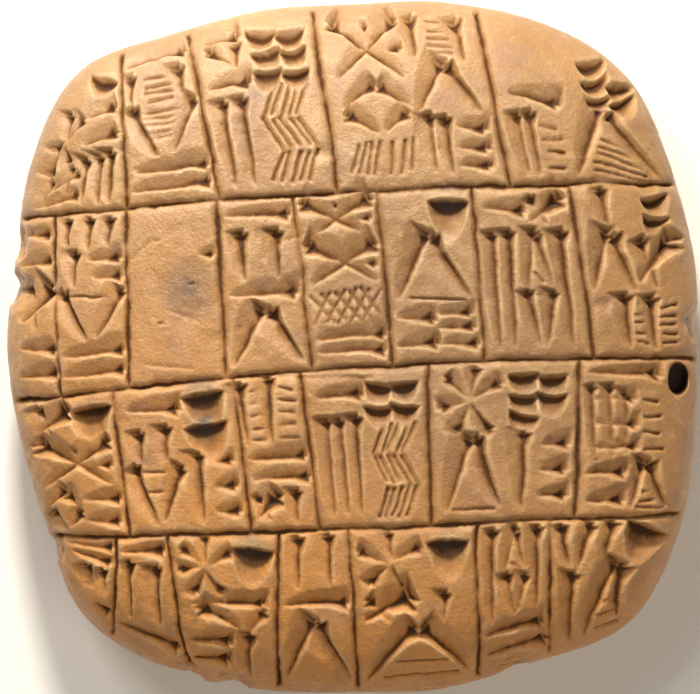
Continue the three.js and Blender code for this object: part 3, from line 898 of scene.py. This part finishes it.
# Ridges rubbed pale, with a painted highlight
RUBBED_AND_LIT_RIDGE = (0.72, 0.48, 0.25)
FLOOR_PAPER = (0.93, 0.925, 0.915)

# Patches on the clay: size in millimetres, detail and roughness of the noise, the values at which
# a patch starts and is full, how much it covers, and its colour
PATCHES = [
    (5, 6, 0.7, 0.5, 0.7, 0.65, MAUVE_PATCH),
    (3.4, 5, 0.65, 0.46, 0.3, 0.5, PALE_PATCH),
    (0.7, 4, 0.7, 0.55, 0.8, 1, SPECK),
    (0.3, 2, 0.5, 0.4, 0.7, 0.4, GRAIN),
]
# Dirt and painted shade in hollows: the value at which each kind starts and is full, how much it covers,
# its colour
DIRT_AND_SHADE_COLOURS = [
    (0.08, 0.6, 1, BROWN_DIRT_AND_SHADE),
    (0.7, 1.4, 0.85, DEEP_DIRT_AND_SHADE),
]


class NodeMaker:
    """Adds nodes to one material. Each of its functions gives the socket with the result."""

    def __init__(self, material):
        self.nodes = material.node_tree.nodes
        self.links = material.node_tree.links
        self.place = self.nodes.new("ShaderNodeTexCoord").outputs["Object"]

    def feed(self, source, socket):
        """Links a socket to the source, or sets it where the source is a number or a colour."""
        if isinstance(source, tuple):
            socket.default_value = (*source, 1)
        elif isinstance(source, (int, float)):
            socket.default_value = source
        else:
            self.links.new(source, socket)

    def noise(self, size, detail=6.0, rough=0.6):
        node = self.nodes.new("ShaderNodeTexNoise")
        node.inputs["Scale"].default_value = 1 / (size * MM)
        node.inputs["Detail"].default_value = detail
        node.inputs["Roughness"].default_value = rough
        self.links.new(self.place, node.inputs["Vector"])
        return node.outputs["Fac"]

    def ramp(self, source, stops):
        node = self.nodes.new("ShaderNodeValToRGB")
        elements = node.color_ramp.elements
        while len(elements) < len(stops):
            elements.new(0.5)
        for element, (position, colour) in zip(elements, stops):
            element.position = position
            element.color = (*colour, 1)
        self.links.new(source, node.inputs["Fac"])
        return node.outputs["Color"]

    def blend(self, factor, first, second):
        node = self.nodes.new("ShaderNodeMix")
        node.data_type = "RGBA"
        self.links.new(factor, node.inputs["Factor"])
        self.feed(first, node.inputs["A"])
        self.feed(second, node.inputs["B"])
        return node.outputs["Result"]

    def spread_of(self, source, low, high, to_low=0.0, to_high=1.0):
        node = self.nodes.new("ShaderNodeMapRange")
        node.inputs["From Min"].default_value = low
        node.inputs["From Max"].default_value = high
        node.inputs["To Min"].default_value = to_low
        node.inputs["To Max"].default_value = to_high
        self.links.new(source, node.inputs["Value"])
        return node.outputs["Result"]

    def combine(self, operation, first, second):
        node = self.nodes.new("ShaderNodeMath")
        node.operation = operation
        self.feed(first, node.inputs[0])
        self.feed(second, node.inputs[1])
        return node.outputs["Value"]

    def around(self, spot, strength):
        """From the strength near the middle of a round spot on the face down to nothing at its rim."""
        x, y, radius = spot
        full_share = 0.2
        away = self.nodes.new("ShaderNodeVectorMath")
        away.operation = "DISTANCE"
        self.links.new(self.place, away.inputs[0])
        away.inputs[1].default_value = (x * MM, y * MM, 0.95 * THICKNESS * MM)
        return self.spread_of(away.outputs["Value"], radius * MM, full_share * radius * MM, 0, strength)

    def up(self):
        """How far up the face each place is, in metres from its middle."""
        node = self.nodes.new("ShaderNodeSeparateXYZ")
        self.links.new(self.place, node.inputs["Vector"])
        return node.outputs["Y"]

    def dirt_and_shade(self):
        """The dirt and painted shade that the mesh carries: above nothing in hollows and below it on
        ridges.
        """
        node = self.nodes.new("ShaderNodeAttribute")
        node.attribute_name = "pressed"
        return node.outputs["Fac"]

    def bump(self, source, strength, height, below=None):
        node = self.nodes.new("ShaderNodeBump")
        node.inputs["Strength"].default_value = strength
        node.inputs["Distance"].default_value = height * MM
        self.links.new(source, node.inputs["Height"])
        if below:
            self.links.new(below, node.inputs["Normal"])
        return node.outputs["Normal"]


def smudges(make):
    """How grey each place is: the strongest of the round smudges, broken up by noise."""
    broken = make.spread_of(make.noise(1.6, 6, 0.7), 0.3, 0.56)
    strongest = 0
    for x, y, radius, strength in SMUDGES:
        strongest = make.combine("MAXIMUM", make.around((x, y, radius), strength), strongest)
    return make.combine("MULTIPLY", strongest, broken)


def clay_colour(make, dirt_and_shade):
    """Mottled clay, brighter and more orange lower down with painted warm light, darker in the middle with
    painted shade, then dirt and painted shade in its hollows, smudges, and ridges rubbed pale with a
    painted highlight.
    """
    swell = 16
    body = make.ramp(make.noise(swell, 5), CLAY)
    upper, lower = 0.3 * LENGTH * MM, -0.5 * LENGTH * MM
    # Painted warm light: brighter and more orange towards the bottom
    body = make.blend(make.spread_of(make.up(), upper, lower, 0, 0.8), body, LOWER_WARM_LIT_CLAY)
    # Painted shade: darker in the middle of the face
    body = make.blend(make.around(SHADED_MIDDLE, 0.65), body, SHADED_MIDDLE_CLAY)
    for size, detail, rough, start, full, cover, colour in PATCHES:
        patch = make.spread_of(make.noise(size, detail, rough), start, full, 0, cover)
        body = make.blend(patch, body, colour)
    # Dirt and painted shade darken the hollows
    for start, full, cover, colour in DIRT_AND_SHADE_COLOURS:
        body = make.blend(make.spread_of(dirt_and_shade, start, full, 0, cover), body, colour)
    body = make.blend(smudges(make), body, SMUDGE)
    # Ridges rubbed pale, with a painted highlight
    ridge, sharpest = -0.08, -0.5
    return make.blend(make.spread_of(dirt_and_shade, ridge, sharpest, 0, 0.6), body, RUBBED_AND_LIT_RIDGE)


def clay_gloss(make, dirt_and_shade, shader):
    """A waxy sheen, strongest on the polished part and dull where dirt lies."""
    smoothest, roughest, dirt_roughness = 0.25, 0.48, 0.8
    first_dirt, full_dirt = 0.05, 0.35
    sheen, polished_sheen, dirty_share = 0.3, 0.7, 0.1
    waxy = make.spread_of(make.noise(2.5, 5), 0.3, 0.7, smoothest, roughest)
    dull = make.combine("MULTIPLY", make.spread_of(dirt_and_shade, first_dirt, full_dirt), dirt_roughness)
    make.links.new(make.combine("MAXIMUM", waxy, dull), shader.inputs["Roughness"])
    clean = make.spread_of(dirt_and_shade, first_dirt, full_dirt, 1, dirty_share)
    polish = make.combine("ADD", make.around(POLISHED, polished_sheen), sheen)
    make.links.new(make.combine("MULTIPLY", clean, polish), shader.inputs["Specular IOR Level"])


def clay_material():
    material = bpy.data.materials.new("clay")
    material.use_nodes = True
    make = NodeMaker(material)
    shader = make.nodes["Principled BSDF"]
    dirt_and_shade = make.dirt_and_shade()
    make.links.new(clay_colour(make, dirt_and_shade), shader.inputs["Base Color"])
    clay_gloss(make, dirt_and_shade, shader)
    coarse = make.bump(make.noise(2.2, 6, 0.6), strength=0.6, height=0.25)
    fine = make.bump(make.noise(0.42, 5, 0.7), strength=0.8, height=0.2, below=coarse)
    make.links.new(fine, shader.inputs["Normal"])
    return material


def floor_material():
    material = bpy.data.materials.new("floor_paper")
    material.use_nodes = True
    shader = material.node_tree.nodes["Principled BSDF"]
    shader.inputs["Base Color"].default_value = (*FLOOR_PAPER, 1)
    shader.inputs["Roughness"].default_value = 0.9
    return material


# The scene around the tablet

# Lights: name, place and size in metres, power in watts, and colour
LIGHTS = [
    ("key", (-0.045, 0.36, 0.24), 0.06, 2.75, (1.0, 0.945, 0.82)),
    ("sheen", (-0.22, 0.28, 0.46), 0.18, 1.0, (1.0, 0.97, 0.9)),
    ("fill", (0.14, -0.24, 0.42), 0.4, 0.8, (1.0, 0.88, 0.7)),
]
SURROUND_COLOUR = (1.0, 0.97, 0.93)
SURROUND_STRENGTH = 0.11


def make_floor():
    size = 1.5
    mesh = bpy.data.meshes.new("floor")
    corners = [(-size, -size, 0), (size, -size, 0), (size, size, 0), (-size, size, 0)]
    mesh.from_pydata(corners, [], [(0, 1, 2, 3)])
    mesh.materials.append(floor_material())
    floor = bpy.data.objects.new("floor", mesh)
    bpy.context.scene.collection.objects.link(floor)


def make_light(name, place, size, power, colour):
    data = bpy.data.lights.new(name, "AREA")
    data.size = size
    data.energy = power
    data.color = colour
    light = bpy.data.objects.new(name, data)
    light.location = place
    light.rotation_euler = (Vector((0, 0, 0)) - Vector(place)).to_track_quat("-Z", "Y").to_euler()
    bpy.context.scene.collection.objects.link(light)


def make_lights():
    for light in LIGHTS:
        make_light(*light)
    world = bpy.data.worlds.new("studio")
    world.use_nodes = True
    background = world.node_tree.nodes["Background"]
    background.inputs["Color"].default_value = (*SURROUND_COLOUR, 1)
    background.inputs["Strength"].default_value = SURROUND_STRENGTH
    bpy.context.scene.world = world
    bpy.context.scene.view_settings.view_transform = "Standard"


def make_camera():
    """Straight down, with the outline as large in the frame as in the photograph, in pixels."""
    distance = 0.8
    image_width = 700
    outline_width = 693
    outline_middle = 352.5
    shown_width = WIDTH * MM * image_width / outline_width
    offset = (outline_middle - image_width / 2) * shown_width / image_width
    data = bpy.data.cameras.new("camera")
    data.sensor_width = 36
    data.lens = data.sensor_width * distance / shown_width
    camera = bpy.data.objects.new("camera", data)
    camera.location = (-offset, 0, WAIST_HEIGHT * MM + distance)
    bpy.context.scene.collection.objects.link(camera)
    bpy.context.scene.camera = camera


tablet = make_tablet()
tablet.data.materials.append(clay_material())
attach(tablet, "root")
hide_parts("tablet")
make_floor()
make_lights()
make_camera()
